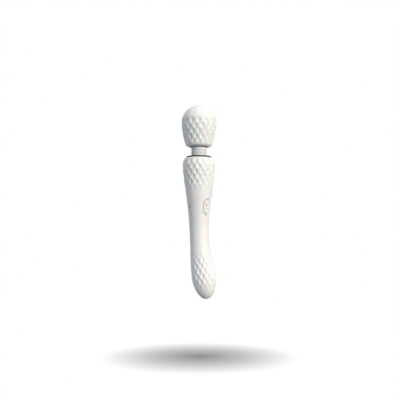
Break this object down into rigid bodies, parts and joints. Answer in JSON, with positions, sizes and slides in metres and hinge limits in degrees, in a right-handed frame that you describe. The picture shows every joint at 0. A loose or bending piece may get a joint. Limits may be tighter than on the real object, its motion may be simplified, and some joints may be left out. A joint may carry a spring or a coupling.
{
  "type": "cordless wand massager",
  "caption": "Cordless hand-held wand massager: round vibrating head on a flexible neck, waisted handle with push buttons and a curved vibrating tail.",
  "frame": {"origin": "on the handle's axis at the middle of the grip", "axes": "+Z along the straight part of the handle, head up; -Y out of the buttons and towards the tail's curve; -X out of the charging hole"},
  "size_m": [0.0424, 0.0444, 0.234],
  "materials": {
    "silicone_white": "matt silicone",
    "neck_grey": "matt soft-touch rubber",
    "trim_black": "satin moulded",
    "casing_white": "moulded, fine texture",
    "holder_grey": "matt rubber",
    "steel": "plated",
    "brass": "machined",
    "board_green": "solder mask",
    "chip_black": "moulded",
    "lamp_green": "clear moulded",
    "cell_blue": "shrink sleeve",
    "lead_red": "insulated wire",
    "lead_black": "insulated wire"
  },
  "bodies": {
    "handle": {"handle_skin": "silicone_white", "handle_shell_left": "casing_white", "handle_shell_right": "casing_white", "handle_screw_1": "steel", "handle_screw_2": "steel", "handle_screw_3": "steel", "handle_screw_4": "steel", "shoulder_ring": "trim_black", "neck_lower_collar": "holder_grey", "neck_sleeve_lower": "neck_grey", "button_pad": "silicone_white", "circuit_board": "board_green", "control_chip": "chip_black", "charge_led": "lamp_green", "upper_switch_housing": "steel", "lower_switch_housing": "steel", "charge_socket": "chip_black", "charge_contact_pin": "brass", "battery_cell": "cell_blue", "battery_holder": "holder_grey", "tail_motor_can": "steel", "tail_motor_holder": "holder_grey", "head_lead_lower": "lead_black", "tail_lead": "lead_black", "battery_lead_red": "lead_red", "battery_lead_black": "lead_black", "charge_lead": "lead_red"},
    "neck_middle": {"neck_mid_ring": "neck_grey", "neck_core": "holder_grey", "head_lead_middle": "lead_black"},
    "head": {"head_skin": "silicone_white", "head_trim_ring": "trim_black", "head_cup_upper": "casing_white", "head_cup_lower": "casing_white", "head_screw_1": "steel", "head_screw_2": "steel", "head_screw_3": "steel", "head_motor_can": "steel", "head_motor_holder": "holder_grey", "neck_upper_collar": "holder_grey", "neck_sleeve_upper": "neck_grey", "head_lead_upper": "lead_black"},
    "head_rotor": {"head_motor_shaft": "steel", "head_eccentric_weight": "brass"},
    "tail_rotor": {"tail_motor_shaft": "steel", "tail_eccentric_weight": "brass"},
    "power_key": {"power_button": "silicone_white", "upper_switch_plunger": "trim_black"},
    "mode_key": {"mode_button": "silicone_white", "lower_switch_plunger": "trim_black"}
  },
  "joints": [
    {"name": "neck_pitch", "type": "hinge", "parent": "handle", "child": "neck_middle", "pos_m": [0, 0, 0.0909], "axis": [1, 0, 0], "range_deg": [-15, 15], "stiffness_Nm_per_rad": 2.5, "deforming": ["neck_sleeve_lower"]},
    {"name": "neck_roll", "type": "hinge", "parent": "neck_middle", "child": "head", "pos_m": [0, 0, 0.0952], "axis": [0, 1, 0], "range_deg": [-15, 15], "stiffness_Nm_per_rad": 2.5, "deforming": ["neck_sleeve_upper"]},
    {"name": "head_motor_spin", "type": "hinge", "parent": "head", "child": "head_rotor", "pos_m": [0, 0, 0.13], "axis": [0, 0, 1], "continuous": true},
    {"name": "tail_motor_spin", "type": "hinge", "parent": "handle", "child": "tail_rotor", "pos_m": [0, -0.01058, -0.06908], "axis": [0, 0.2105, 0.9776], "continuous": true},
    {"name": "power_press", "type": "slide", "parent": "handle", "child": "power_key", "axis": [0, 0.9945, 0.1045], "range_m": [0, 0.0005], "stiffness_N_per_m": 3000},
    {"name": "mode_press", "type": "slide", "parent": "handle", "child": "mode_key", "axis": [0, 0.9945, 0.1045], "range_m": [0, 0.0005], "stiffness_N_per_m": 3000}
  ]
}
